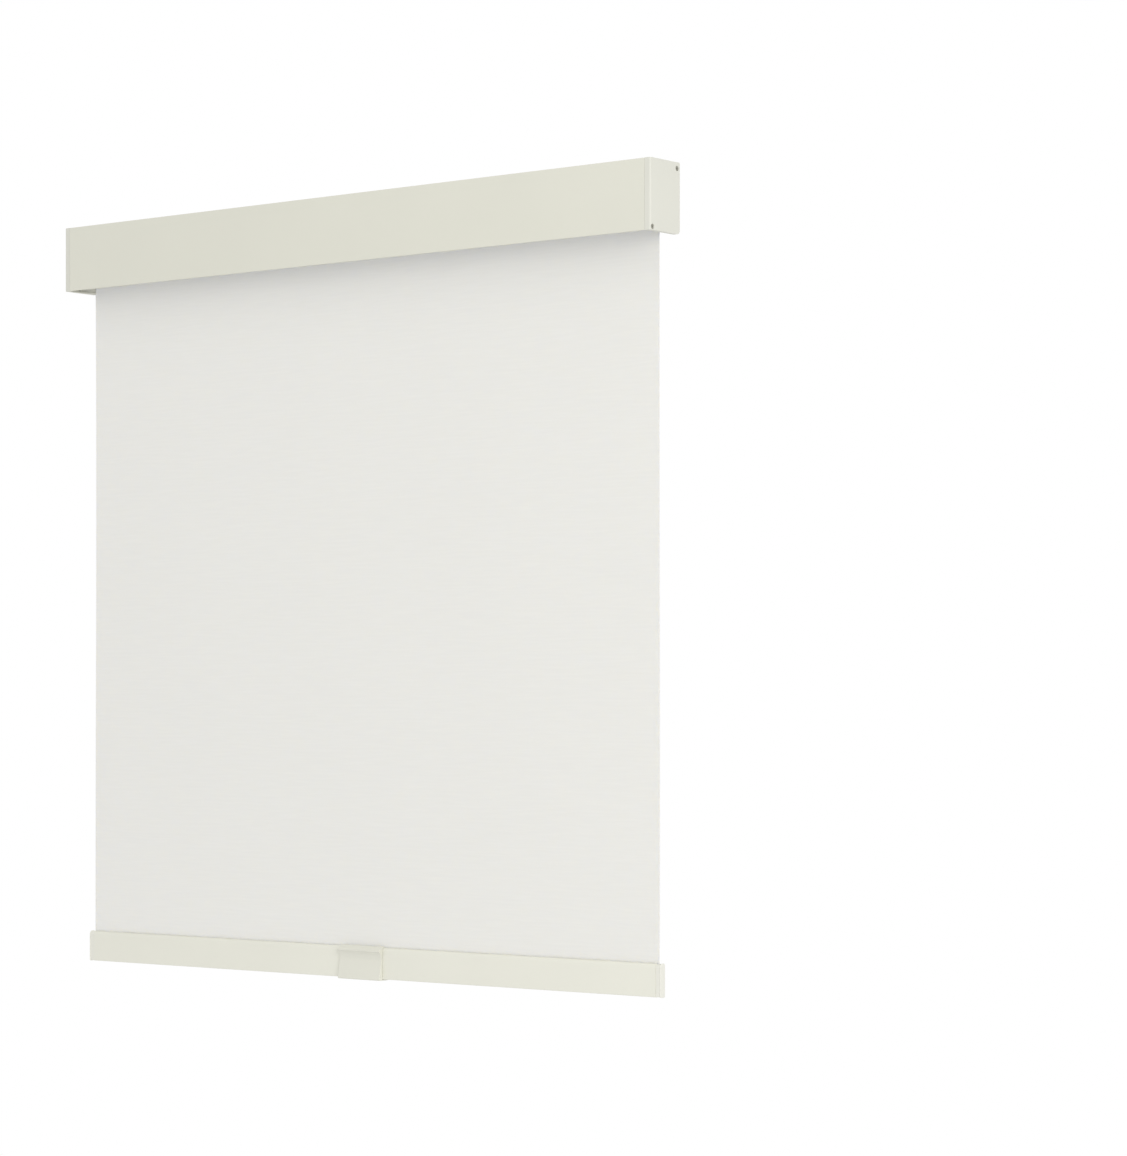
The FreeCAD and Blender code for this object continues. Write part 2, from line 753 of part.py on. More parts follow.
def make_fabric_tape():
    """Adhesive strip that holds the fabric's inner end to the tube."""
    end_angle = 360 * (wound_turns % 1)
    centre = V(-fabric_half, axis_y, axis_z)
    strip = Part.makeCylinder(tape_radius, 2 * fabric_half, centre, V(1, 0, 0))
    strip = strip.cut(Part.makeCylinder(tube_radius + tape_gap, 2 * fabric_half, centre,
                                        V(1, 0, 0)))
    reach = 2 * tube_radius
    corners = [centre]
    for angle in (end_angle - tape_arc, end_angle):
        lean = math.radians(angle)
        corners.append(centre + V(0, reach * math.cos(lean), reach * math.sin(lean)))
    corners.append(centre)
    return strip.common(Part.Face(Part.makePolygon(corners)).extrude(V(2 * fabric_half, 0, 0)))


def make_fabric_drop():
    """The flat hanging sheet, from the back of the roll to the bottom rail."""
    half = fabric_thickness / 2
    return block(-fabric_half, fabric_half, fabric_y - half, fabric_y + half,
                 rail_top + fabric_rail_gap, axis_z)


def make_fabric_hem():
    """The fabric's end inside the rail: a strip through the slot and a loop round the spline."""
    centre = (fabric_y, channel_z)
    x0 = -rail_extrusion_half + hem_end_inset
    x1 = -x0
    inner = spline_radius + hem_gap
    loop = rod_x(centre, inner + fabric_thickness, x0, x1)
    strip = block(x0, x1, fabric_y - fabric_thickness / 2, fabric_y + fabric_thickness / 2,
                  channel_z + inner, rail_top + fabric_rail_gap)
    hem = loop.fuse(strip).removeSplitter()
    return hem.cut(rod_x(centre, inner, x0 - overrun, x1 + overrun))


# Bottom rail

def rail_outline_solid(grow, x0, x1):
    """The rail's outer section, made larger all round by grow."""
    y0 = rail_front_y - grow
    y1 = rail_back_y + grow
    z0 = rail_bottom - grow
    z1 = rail_top + grow
    solid = prism_x(rectangle(y0, y1, z0, z1), x0, x1)
    solid = round_along_x(solid, [(y0, z1)], max(rail_front_round + grow, rail_inner_round))
    solid = round_along_x(solid, [(y1, z1)], max(rail_back_round + grow, rail_inner_round))
    return round_along_x(solid, [(y0, z0), (y1, z0)],
                         max(rail_bottom_round + grow, rail_inner_round))


def make_bottom_rail():
    """Hollow rail extrusion whose top channel grips the hem."""
    x0 = -rail_extrusion_half
    x1 = rail_extrusion_half
    centre = (fabric_y, channel_z)
    shell = rail_outline_solid(0, x0, x1)
    hollow = rail_outline_solid(-rail_wall, x0 - overrun, x1 + overrun)
    ring = rod_x(centre, channel_ring_radius, x0 - overrun, x1 + overrun)
    lips = block(x0 - overrun, x1 + overrun, fabric_y - channel_ring_radius, fabric_y + channel_ring_radius,
                 channel_z, rail_top)
    hollow = hollow.cut(ring.fuse(lips))
    channel = rod_x(centre, channel_radius, x0 - overrun, x1 + overrun)
    slot = block(x0 - overrun, x1 + overrun, fabric_y - rail_slot / 2, fabric_y + rail_slot / 2,
                 channel_z, rail_top + overrun)
    return cut_each(shell, [hollow, channel, slot]).removeSplitter()


def make_hem_spline():
    """Plastic rod that keeps the hem in the rail's channel."""
    reach = rail_extrusion_half - hem_end_inset
    return rod_x((fabric_y, channel_z), spline_radius, -reach, reach)


def make_rail_end_cap():
    """Right-hand cap of the bottom rail: a recessed block, an outer flange and a spigot."""
    x0 = rail_extrusion_half + rail_cap_gap
    x1 = rail_half - rail_cap_flange
    body = rail_outline_solid(-rail_cap_recess, x0, x1 + bite)
    flange = rail_outline_solid(rail_cap_proud, x1, rail_half)
    rim = [edge for edge in flange.Edges if edge.BoundBox.XMin > rail_half - 1e-6]
    flange = flange.makeChamfer(rail_cap_bevel, rim)
    inset = rail_wall + rail_spigot_clearance
    spigot = block(rail_extrusion_half - rail_spigot_length, x0 + bite, rail_front_y + inset,
                   rail_back_y - inset, rail_bottom + inset,
                   channel_z - channel_ring_radius - rail_spigot_clearance)
    return body.fuse([flange, spigot]).removeSplitter()


# Finger pull

def pull_point(x, ahead, rise):
    """A point given by its reach ahead of the rail's front and its rise above the rail's foot."""
    return V(x, rail_front_y - ahead, rail_bottom + rise)


def make_pull_handle():
    """Clip round the rail with a sloping top, a finger lip and a hollow front."""
    x0 = pull_offset - pull_width / 2
    thick = rail_front_reach + rail_back_reach
    top = rail_height + pull_clearance + pull_top
    foot = -pull_clearance - pull_floor
    heel = -thick - pull_clearance
    lip_z = rail_height - pull_lip_drop
    under_z = lip_z - pull_lip_thickness
    groove_z = rail_height - pull_groove_drop

    def at(ahead, rise):
        return pull_point(x0, ahead, rise)

    def line(a, b):
        return Part.LineSegment(a, b).toShape()

    def arc(a, m, b):
        return Part.Arc(a, m, b).toShape()

    hug_radius = rail_front_round + pull_clearance
    hug_z = rail_height - rail_front_round
    hug_end = math.acos((rail_front_round - pull_top_reach) / hug_radius)

    def hug(angle):
        return at(hug_radius * math.cos(angle) - rail_front_round, hug_z + hug_radius * math.sin(angle))

    nose_in = pull_lip_reach - pull_lip_thickness / 2
    c = {
        "top_back": at(-pull_top_reach, top),
        "top_front": at(0, top),
        "nose_top": at(nose_in, lip_z),
        "nose_mid": at(pull_lip_reach, lip_z - pull_lip_thickness / 2),
        "nose_under": at(nose_in, under_z),
        "groove": at(pull_groove_reach, groove_z),
        "foot_front": at(pull_foot_reach, 0),
        "foot_low": at(pull_foot_reach - pull_foot_round, foot),
        "heel_low": at(heel - pull_heel, foot),
        "heel_top": at(heel - pull_heel, pull_heel_rise),
        "heel_in_top": at(heel, pull_heel_rise),
        "heel_in": at(heel, -pull_clearance),
        "inner_foot": at(pull_clearance, -pull_clearance),
        "inner_top": hug(0),
        "top_under": hug(hug_end)}
    slope_mid = at(nose_in / 2 + pull_clearance, (top + lip_z) / 2 + pull_clearance)
    cove_lean = (nose_in - pull_groove_reach) * (1 - math.sqrt(0.5))
    cove_mid = at(pull_groove_reach + cove_lean, groove_z + (under_z - groove_z) * math.sqrt(0.5))
    foot_mid = at(pull_foot_reach - pull_foot_round * (1 - math.sqrt(0.5)),
                  foot * math.sqrt(0.5))
    edges = [
        line(c["top_back"], c["top_front"]),
        arc(c["top_front"], slope_mid, c["nose_top"]),
        arc(c["nose_top"], c["nose_mid"], c["nose_under"]),
        arc(c["nose_under"], cove_mid, c["groove"]),
        line(c["groove"], c["foot_front"]),
        arc(c["foot_front"], foot_mid, c["foot_low"]),
        line(c["foot_low"], c["heel_low"]),
        line(c["heel_low"], c["heel_top"]),
        line(c["heel_top"], c["heel_in_top"]),
        line(c["heel_in_top"], c["heel_in"]),
        line(c["heel_in"], c["inner_foot"]),
        line(c["inner_foot"], c["inner_top"]),
        arc(c["inner_top"], hug(hug_end / 2), c["top_under"]),
        line(c["top_under"], c["top_back"])]
    return Part.Face(Part.Wire(edges)).extrude(V(pull_width, 0, 0))


# Output

def nodes():
    bracket = make_mounting_bracket()
    lever = make_latch_lever()
    rivet = make_latch_rivet()
    screws = make_cap_screws()
    rail_cap = make_rail_end_cap()
    return {
        "fascia_profile": make_fascia_profile(),
        "end_cap_left": make_end_cap_left(),
        "end_cap_right": make_end_cap_right(),
        "cap_screws_left": mirrored(screws),
        "cap_screws_right": screws,
        "mounting_bracket_left": mirrored(bracket),
        "mounting_bracket_right": bracket,
        "latch_lever_left": mirrored(lever),
        "latch_lever_right": lever,
        "latch_rivet_left": mirrored(rivet),
        "latch_rivet_right": rivet,
        "roller_tube": make_roller_tube(),
        "idle_plug": make_idle_plug(),
        "idle_pin": make_idle_pin(),
        "idle_pin_spring": make_idle_pin_spring(),
        "idle_retainer": make_idle_retainer(),
        "bearing_plug": make_bearing_plug(),
        "spring_shaft": make_spring_shaft(),
        "spring_anchor": make_spring_anchor(),
        "torsion_spring": make_torsion_spring(),
        "spring_crown": make_spring_crown(),
        "brake_cup": make_brake_cup(),
        "brake_hub": make_brake_hub(),
        "brake_spring": make_brake_spring(),
        "shaft_clip": make_shaft_clip(),
        "fabric_tape": make_fabric_tape(),
        "fabric_roll": make_fabric_roll(),
        "fabric_drop": make_fabric_drop(),
        "fabric_hem": make_fabric_hem(),
        "hem_spline": make_hem_spline(),
        "bottom_rail": make_bottom_rail(),
        "rail_end_cap_left": mirrored(rail_cap),
        "rail_end_cap_right": rail_cap,
        "pull_handle": make_pull_handle()}


def main():
    os.makedirs("parts", exist_ok=True)
    print_turn_gap()
    for name, shape in nodes().items():
        shape.exportStep("parts/" + name + ".step")


if __name__ == "__main__":
    main()
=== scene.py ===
import json
import math

import bmesh
import bpy
from bpy.props import FloatProperty, FloatVectorProperty, IntProperty, PointerProperty
from mathutils import Matrix, Vector

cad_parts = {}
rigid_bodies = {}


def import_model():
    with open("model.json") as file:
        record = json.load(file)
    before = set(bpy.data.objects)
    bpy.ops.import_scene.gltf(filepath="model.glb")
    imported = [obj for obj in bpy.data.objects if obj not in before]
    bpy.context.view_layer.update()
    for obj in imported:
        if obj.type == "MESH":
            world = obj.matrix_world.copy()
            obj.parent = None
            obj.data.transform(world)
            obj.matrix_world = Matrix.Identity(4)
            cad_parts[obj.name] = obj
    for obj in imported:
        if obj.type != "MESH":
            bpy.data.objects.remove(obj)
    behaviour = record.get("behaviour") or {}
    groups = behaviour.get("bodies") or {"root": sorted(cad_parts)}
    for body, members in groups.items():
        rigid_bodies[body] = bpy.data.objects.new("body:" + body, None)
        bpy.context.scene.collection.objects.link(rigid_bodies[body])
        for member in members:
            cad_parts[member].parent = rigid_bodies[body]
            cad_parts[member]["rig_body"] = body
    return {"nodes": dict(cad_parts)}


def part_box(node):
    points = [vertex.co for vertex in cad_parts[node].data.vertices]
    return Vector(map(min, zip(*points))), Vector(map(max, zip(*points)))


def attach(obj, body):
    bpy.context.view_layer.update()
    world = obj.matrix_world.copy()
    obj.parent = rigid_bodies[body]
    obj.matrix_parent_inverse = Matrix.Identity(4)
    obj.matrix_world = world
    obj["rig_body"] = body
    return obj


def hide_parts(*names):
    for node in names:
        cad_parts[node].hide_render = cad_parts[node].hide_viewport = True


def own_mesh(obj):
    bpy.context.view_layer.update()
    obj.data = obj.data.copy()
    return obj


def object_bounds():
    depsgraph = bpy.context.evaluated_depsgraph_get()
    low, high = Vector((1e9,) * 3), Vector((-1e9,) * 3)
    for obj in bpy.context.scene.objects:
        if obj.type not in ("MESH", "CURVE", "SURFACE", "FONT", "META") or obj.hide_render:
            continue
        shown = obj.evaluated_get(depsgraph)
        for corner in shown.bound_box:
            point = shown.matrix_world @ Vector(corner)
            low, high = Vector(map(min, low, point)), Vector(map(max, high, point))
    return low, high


bl_info = {
    "name": "Cordless Roller Shade",
    "version": (1, 0, 0),
    "blender": (4, 5, 0),
    "location": "View3D > Sidebar > Shade",
    "description": "Dresses a jointed roller shade with cloth, paint, mouldings, springs "
                   "and a studio",
    "category": "Object",
}

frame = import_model()
cad_low, cad_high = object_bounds()

MM = 0.001
TINY = 1e-6                     # lengths in metres below this count as nothing
X_AXIS = Vector((1, 0, 0))
Z_AXIS = Vector((0, 0, 1))

# How the cloth is laid out
RAIL_TUCK = 1.5 * MM            # from the CAD sheet's end down into the rail's slot
HEM_GAP = 0.05 * MM             # from the sheet's end to the beginning of the hem
INNER_TURN_RISE = 0.4 * MM      # from the tube to the middle of the innermost turn's cloth
HEM_TURN = math.radians(340)    # how far the hem goes round the spline
HEM_STEPS = 32
TURN_STEPS = 72                 # in one turn on the tube
SHEET_COLUMNS = 96
SHEET_ROWS = 92

# The sheet's ripple
RIPPLE_WAVES = ((1.0, 5.1, 2.3, 0.0), (0.6, 11.3, -4.1, 1.2))  # strength, across, down, start
SIDE_CURL = 0.9                 # strength of the curl at the sheet's sides
SIDE_CURL_POWER = 6
FLAT_FROM = 0.98                # share of the drop from which the sheet stays flat
HUMP_RATE = 1.02                # the ripple dies out just below that share
HUMP_POWER = 0.7

# The cloth's and the sheet metal's looks
THREAD_DEPTH = 0.06 * MM
THREAD_SHARE = 0.3              # of the threads in the colour's pattern, beside the slubs
SLUB_THREADS = 6                # threads across one slub
LIGHT_REACH = 1.7 * MM          # how far light spreads inside the cloth
BAND_LENGTH = math.pi / 10      # of the wave node's bands at a scale of 1

CRYSTALS = 170.0                # in a metre of zinc-plated sheet

# Where nearly all of a noise pattern's values lie
PATTERN_LOW = 0.3
PATTERN_HIGH = 0.7

# Edges of the cleaned CAD pieces
FACE_TOLERANCE = 0.01 * MM
BRACKET_EDGE = 0.12 * MM
LATCH_EDGE = 0.25 * MM
LATCH_SHORTEST = 0.3 * MM       # shorter edges of a latch stay sharp
RAIL_CAP_EDGE = 0.2 * MM

# Share of the wire that is drawn, so that neighbouring turns don't touch
WIRE_FIT = 0.97

# Proportions of the cap screws
RIM_ROUND = 0.55                # rounding of the head's rim, in head heights
CROSS_LENGTH = 0.56             # of the recess, in head diameters
CROSS_WIDTH = 0.13
CROSS_HEIGHT = 1.5              # of the cutter's bars, in head heights
CROSS_FOOT = 0.45               # length of the bars at their foot
CORE_TIP = 0.8                  # radius at the screw's tip, in core radii
THREAD_ROOT = 0.9               # radius at the thread's foot, in core radii
THREAD_HALF = 0.3               # half the thread's foot, in pitches
BARE_SHANK = 0.05               # share of the shank without a thread, under the head

# The studio's floor and softboxes, in metres
FLOOR_HALF = 30.0
SIDE_SOFTBOX = {"place": (3.0, -1.8, 0.35), "width": 1.5, "height": 1.5}
TOP_SOFTBOX = {"place": (0.3, -1.6, 2.2), "width": 2.4, "height": 1.2}


# Places read from the frame

drop_low, drop_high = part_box("fabric_drop")
tube_low, tube_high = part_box("roller_tube")
hem_low, hem_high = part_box("fabric_hem")
spline_low, spline_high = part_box("hem_spline")
tube_centre = (tube_low + tube_high) / 2
spline_centre = (spline_low + spline_high) / 2
tube_radius = (tube_high.z - tube_low.z) / 2
cloth_y = (drop_low.y + drop_high.y) / 2
cloth_thickness = drop_high.y - drop_low.y
cloth_half = (drop_high.x - drop_low.x) / 2
sheet_low = drop_low.z - RAIL_TUCK
sheet_length = drop_high.z - sheet_low
hem_top = sheet_low - HEM_GAP
roll_radius = cloth_y - tube_centre.y


# Sizes and colours that a user would change

class ShadePaint(bpy.types.PropertyGroup):
    """Colours of the painted and moulded pieces."""
    cassette: FloatVectorProperty(
        name="Cassette", description="Powder coat of the cassette extrusion",
        subtype="COLOR", size=3, min=0, max=1, default=(0.757, 0.752, 0.657))
    caps: FloatVectorProperty(
        name="End caps", description="Moulded caps at the ends of the cassette",
        subtype="COLOR", size=3, min=0, max=1, default=(0.728, 0.725, 0.650))
    rail: FloatVectorProperty(
        name="Bottom rail", description="Powder coat of the bottom rail",
        subtype="COLOR", size=3, min=0, max=1, default=(0.838, 0.832, 0.738))
    pull: FloatVectorProperty(
        name="Finger pull", description="Moulded finger pull",
        subtype="COLOR", size=3, min=0, max=1, default=(0.785, 0.780, 0.690))
    rail_caps: FloatVectorProperty(
        name="Rail end caps", description="Moulded caps at the ends of the bottom rail",
        subtype="COLOR", size=3, min=0, max=1, default=(0.835, 0.828, 0.750))
    grain: FloatProperty(
        name="Paint grain", description="Size of the fine ripple in the powder coat",
        unit="LENGTH", min=0.0001, max=0.01, default=0.0012)


class ShadeCloth(bpy.types.PropertyGroup):
    """The hanging fabric."""
    colour: FloatVectorProperty(
        name="Yarn", description="Colour of the yarn",
        subtype="COLOR", size=3, min=0, max=1, default=(0.742, 0.729, 0.650))
    glow: FloatProperty(
        name="Light through", description="Share of the light that filters through the cloth",
        subtype="FACTOR", min=0, max=1, default=1.0)
    thread: FloatProperty(
        name="Thread pitch", description="Distance from one thread to the next",
        unit="LENGTH", min=0.0001, max=0.01, default=0.00045)
    slub_length: FloatProperty(
        name="Slub length", description="Length of the thicker stretches in the cross threads",
        unit="LENGTH", min=0.001, max=0.5, default=0.045)
    ripple: FloatProperty(
        name="Ripple", description="How far the hanging sheet wanders out of its plane",
        unit="LENGTH", min=0, max=0.003, default=0.0006)
    wound_turns: FloatProperty(
        name="Wound turns", description="Turns of fabric left on the tube when the shade is down",
        min=0.25, max=10, default=1.5)


class ShadeFinish(bpy.types.PropertyGroup):
    """Small shapes of the finished pieces."""
    soft_edge: FloatProperty(
        name="Soft edge", description="Rounding of the moulded pieces' edges",
        unit="LENGTH", min=0, max=0.002, default=0.0004)
    screw_head: FloatProperty(
        name="Screw head", description="Diameter of the cap screws' heads",
        unit="LENGTH", min=0.002, max=0.012, default=0.0052)
    screw_head_height: FloatProperty(
        name="Screw head height", description="Height of the cap screws' heads",
        unit="LENGTH", min=0.0005, max=0.005, default=0.0015)
    screw_thread: FloatProperty(
        name="Screw thread", description="Diameter over the cap screws' threads",
        unit="LENGTH", min=0.001, max=0.008, default=0.0032)
    screw_core: FloatProperty(
        name="Screw core", description="Diameter of the cap screws' cores",
        unit="LENGTH", min=0.0008, max=0.007, default=0.0024)
    screw_pitch: FloatProperty(
        name="Screw pitch", description="Rise of the cap screws' threads in one turn",
        unit="LENGTH", min=0.0003, max=0.003, default=0.0013)
    spring_wire: FloatProperty(
        name="Spring wire", description="Wire diameter of the lifting spring",
        unit="LENGTH", min=0.0005, max=0.003, default=0.0016)
    brake_wire: FloatProperty(
        name="Brake wire", description="Wire diameter of the brake's wrap spring",
        unit="LENGTH", min=0.0005, max=0.003, default=0.0014)
    pin_wire: FloatProperty(
        name="Pin spring wire", description="Wire diameter of the idle pin's spring",
        unit="LENGTH", min=0.0003, max=0.002, default=0.001)
    pin_turns: IntProperty(
        name="Pin spring turns", description="Turns of the idle pin's spring",
        min=2, max=20, default=7)


class ShadeStudio(bpy.types.PropertyGroup):
    """Camera and light."""
    focal_length: FloatProperty(
        name="Focal length", description="Lens of the camera",
        unit="CAMERA", min=20, max=300, default=107.055)
    camera_place: FloatVectorProperty(
        name="Camera place", description="Where the camera stands",
        subtype="TRANSLATION", unit="LENGTH", size=3, default=(2.6946, -3.0205, -0.5940))
    camera_turn: FloatProperty(
        name="Camera turn", description="Turn of the level camera about the vertical",
        subtype="ANGLE", default=math.radians(38.226))
    camera_rise: FloatProperty(
        name="Camera shift", description="Upward shift of the picture, as a share of its height",
        min=-0.5, max=0.5, default=0.1083)
    room_light: FloatProperty(
        name="Room light", description="Strength of the even light from all round",
        min=0, max=2, default=0.765)
    key_light: FloatProperty(
        name="Side light", description="Power of the softbox on the right",
        unit="POWER", min=0, max=500, default=34)
    top_light: FloatProperty(
        name="Top light", description="Power of the softbox above the front",
        unit="POWER", min=0, max=500, default=5)
    floor_drop: FloatProperty(
        name="Floor drop", description="Height of the rail's foot above the floor",
        unit="LENGTH", min=0.05, max=3, default=0.9)


# Materials

def blank_material(name):
    """A new node material with its shader and its object coordinates."""
    material = bpy.data.materials.new(name)
    material.use_nodes = True
    nodes = material.node_tree.nodes
    place = nodes.new("ShaderNodeTexCoord")
    return material, nodes, material.node_tree.links, nodes["Principled BSDF"], place


def stretched(nodes, links, source, stretch):
    """The coordinates multiplied along each axis."""
    mapping = nodes.new("ShaderNodeMapping")
    mapping.inputs["Scale"].default_value = stretch
    links.new(source, mapping.inputs["Vector"])
    return mapping.outputs["Vector"]


def cloud(nodes, links, source, scale, detail=2.0):
    """A soft random pattern between 0 and 1."""
    noise = nodes.new("ShaderNodeTexNoise")
    noise.inputs["Scale"].default_value = scale
    noise.inputs["Detail"].default_value = detail
    links.new(source, noise.inputs["Vector"])
    return noise.outputs["Fac"]


def between(nodes, links, share, low, high):
    """A number that runs from low to high with the pattern."""
    spread = nodes.new("ShaderNodeMapRange")
    spread.inputs["From Min"].default_value = PATTERN_LOW
    spread.inputs["From Max"].default_value = PATTERN_HIGH
    spread.inputs["To Min"].default_value = low
    spread.inputs["To Max"].default_value = high
    links.new(share, spread.inputs["Value"])
    return spread.outputs["Result"]


def tint(nodes, links, share, colour, depth):
    """The colour, darkened by up to the given depth where the pattern is low."""
    ramp = nodes.new("ShaderNodeValToRGB")
    ramp.color_ramp.elements[0].position = PATTERN_LOW
    ramp.color_ramp.elements[0].color = [*(part * (1 - depth) for part in colour), 1]
    ramp.color_ramp.elements[1].position = PATTERN_HIGH
    ramp.color_ramp.elements[1].color = [*colour, 1]
    links.new(share, ramp.inputs["Fac"])
    return ramp.outputs["Color"]


def relief(nodes, links, height, depth, strength):
    """Turns a pattern into small dents of the given depth in metres."""
    bump = nodes.new("ShaderNodeBump")
    bump.inputs["Strength"].default_value = strength
    bump.inputs["Distance"].default_value = depth
    links.new(height, bump.inputs["Height"])
    return bump.outputs["Normal"]


def powder_coat(name, colour, grain):
    """Satin powder coat: an even colour, a fine orange-peel ripple and a soft gloss."""
    material, nodes, links, shader, place = blank_material(name)
    peel = cloud(nodes, links, place.outputs["Object"], scale=1 / grain)
    patch = cloud(nodes, links, place.outputs["Object"], scale=9.0)
    links.new(tint(nodes, links, patch, colour, depth=0.018), shader.inputs["Base Color"])
    links.new(between(nodes, links, peel, low=0.40, high=0.50), shader.inputs["Roughness"])
    links.new(relief(nodes, links, peel, depth=0.02 * MM, strength=0.5),
              shader.inputs["Normal"])
    shader.inputs["Specular IOR Level"].default_value = 0.35
    return material


def moulded_plastic(name, colour, roughness=0.5, spread=0.06):
    """Injection-moulded plastic with a fine eroded grain."""
    material, nodes, links, shader, place = blank_material(name)
    grain = cloud(nodes, links, place.outputs["Object"], scale=1600.0, detail=4.0)
    patch = cloud(nodes, links, place.outputs["Object"], scale=14.0)
    links.new(tint(nodes, links, patch, colour, depth=0.02), shader.inputs["Base Color"])
    links.new(between(nodes, links, grain, roughness - spread, roughness + spread),
              shader.inputs["Roughness"])
    links.new(relief(nodes, links, grain, depth=0.01 * MM, strength=0.4),
              shader.inputs["Normal"])
    shader.inputs["Specular IOR Level"].default_value = 0.4
    return material


def drawn_metal(name, colour, roughness, stretch=(1, 1, 1), metallic=1.0, spread=0.08):
    """Bare metal with fine lines along the way it was drawn or rolled."""
    material, nodes, links, shader, place = blank_material(name)
    lines = cloud(nodes, links, stretched(nodes, links, place.outputs["Object"], stretch),
                  scale=900.0, detail=3.0)
    patch = cloud(nodes, links, place.outputs["Object"], scale=30.0)
    links.new(tint(nodes, links, patch, colour, depth=0.08), shader.inputs["Base Color"])
    links.new(between(nodes, links, lines, roughness - spread, roughness + spread),
              shader.inputs["Roughness"])
    links.new(relief(nodes, links, lines, depth=0.01 * MM, strength=0.5),
              shader.inputs["Normal"])
    shader.inputs["Metallic"].default_value = metallic
    return material


def galvanised_sheet(name, colour):
    """Zinc-plated sheet with its faint crystal pattern."""
    material, nodes, links, shader, place = blank_material(name)
    crystal = nodes.new("ShaderNodeTexVoronoi")
    crystal.inputs["Scale"].default_value = CRYSTALS
    links.new(place.outputs["Object"], crystal.inputs["Vector"])
    spread = nodes.new("ShaderNodeSeparateColor")
    links.new(crystal.outputs["Color"], spread.inputs["Color"])
    flake = spread.outputs["Red"]
    links.new(tint(nodes, links, flake, colour, depth=0.06), shader.inputs["Base Color"])
    links.new(between(nodes, links, flake, low=0.36, high=0.42), shader.inputs["Roughness"])
    shader.inputs["Metallic"].default_value = 0.9
    return material


def weave_wave(nodes, links, source, axis, pitch):
    """One set of threads: a rounded ridge every pitch along the axis."""
    wave = nodes.new("ShaderNodeTexWave")
    wave.wave_type = "BANDS"
    wave.bands_direction = axis
    wave.wave_profile = "SIN"
    wave.inputs["Scale"].default_value = BAND_LENGTH / pitch
    wave.inputs["Distortion"].default_value = 0.0
    links.new(source, wave.inputs["Vector"])
    return wave.outputs["Fac"]


def plain_weave(name, cloth, width, length, glow=0.0):
    """Plain weave in a piece's own UV map: threads both ways, slubs, and light through it."""
    material, nodes, links, shader, place = blank_material(name)
    on_cloth = stretched(nodes, links, place.outputs["UV"], (width, length, 1))
    along = weave_wave(nodes, links, on_cloth, "X", cloth.thread)
    across = weave_wave(nodes, links, on_cloth, "Y", cloth.thread)
    crossing = nodes.new("ShaderNodeMath")
    crossing.operation = "MULTIPLY"
    links.new(along, crossing.inputs[0])
    links.new(across, crossing.inputs[1])
    fine = cloth.slub_length / (SLUB_THREADS * cloth.thread)
    slubs = cloud(nodes, links, stretched(nodes, links, on_cloth, (1, fine, 1)),
                  scale=1 / cloth.slub_length, detail=3.0)
    shade = nodes.new("ShaderNodeMix")
    shade.inputs["Factor"].default_value = 1 - THREAD_SHARE
    links.new(crossing.outputs["Value"], shade.inputs["A"])
    links.new(slubs, shade.inputs["B"])
    links.new(tint(nodes, links, shade.outputs["Result"], cloth.colour, depth=0.035),
              shader.inputs["Base Color"])
    links.new(relief(nodes, links, crossing.outputs["Value"], THREAD_DEPTH, strength=0.35),
              shader.inputs["Normal"])
    shader.inputs["Roughness"].default_value = 0.92
    shader.inputs["Specular IOR Level"].default_value = 0.15
    shader.inputs["Sheen Weight"].default_value = 0.06
    shader.inputs["Sheen Roughness"].default_value = 0.6
    shader.subsurface_method = "RANDOM_WALK_SKIN"
    shader.inputs["Subsurface Weight"].default_value = glow
    shader.inputs["Subsurface Radius"].default_value = (1.0, 1.0, 0.9)
    shader.inputs["Subsurface Scale"].default_value = LIGHT_REACH
    return material


def studio_white(name, colour):
    """A matt surface that the camera and gloss see as white, but that takes the light plainly."""
    material, nodes, links, shader, _ = blank_material(name)
    shader.inputs["Base Color"].default_value = [*colour, 1]
    shader.inputs["Roughness"].default_value = 0.9
    glow = nodes.new("ShaderNodeEmission")
    glow.inputs["Strength"].default_value = 1.0
    seen = seen_rays(nodes, links)
    pick = nodes.new("ShaderNodeMixShader")
    links.new(seen, pick.inputs["Fac"])
    links.new(shader.outputs["BSDF"], pick.inputs[1])
    links.new(glow.outputs["Emission"], pick.inputs[2])
    links.new(pick.outputs["Shader"], nodes["Material Output"].inputs["Surface"])
    return material


def seen_rays(nodes, links):
    """1 for rays from the camera, and for those that gloss or glass passes on."""
    path = nodes.new("ShaderNodeLightPath")
    either = nodes.new("ShaderNodeMath")
    either.operation = "MAXIMUM"
    links.new(path.outputs["Is Camera Ray"], either.inputs[0])
    links.new(path.outputs["Is Glossy Ray"], either.inputs[1])
    glassy = nodes.new("ShaderNodeMath")
    glassy.operation = "MAXIMUM"
    links.new(either.outputs["Value"], glassy.inputs[0])
    links.new(path.outputs["Is Transmission Ray"], glassy.inputs[1])
    return glassy.outputs["Value"]


finishes = {}


def finish_named(name, make, colour, **values):
    """The finish of that name, made on its first use."""
    if name not in finishes:
        finishes[name] = make(name, colour, **values)
    return finishes[name]


def cassette_coat(scene):
    return finish_named("cassette_powder_coat", powder_coat, scene.shade_paint.cassette,
                        grain=scene.shade_paint.grain)


def rail_coat(scene):
    return finish_named("rail_powder_coat", powder_coat, scene.shade_paint.rail,
                        grain=scene.shade_paint.grain)


def cap_moulding(scene):
    return finish_named("end_cap_moulding", moulded_plastic, scene.shade_paint.caps)


def rail_cap_moulding(scene):
    return finish_named("rail_cap_moulding", moulded_plastic, scene.shade_paint.rail_caps)


def pull_moulding(scene):
    return finish_named("finger_pull_moulding", moulded_plastic, scene.shade_paint.pull,
                        roughness=0.45)


def latch_moulding():
    return finish_named("latch_moulding", moulded_plastic, (0.60, 0.60, 0.58), roughness=0.45)


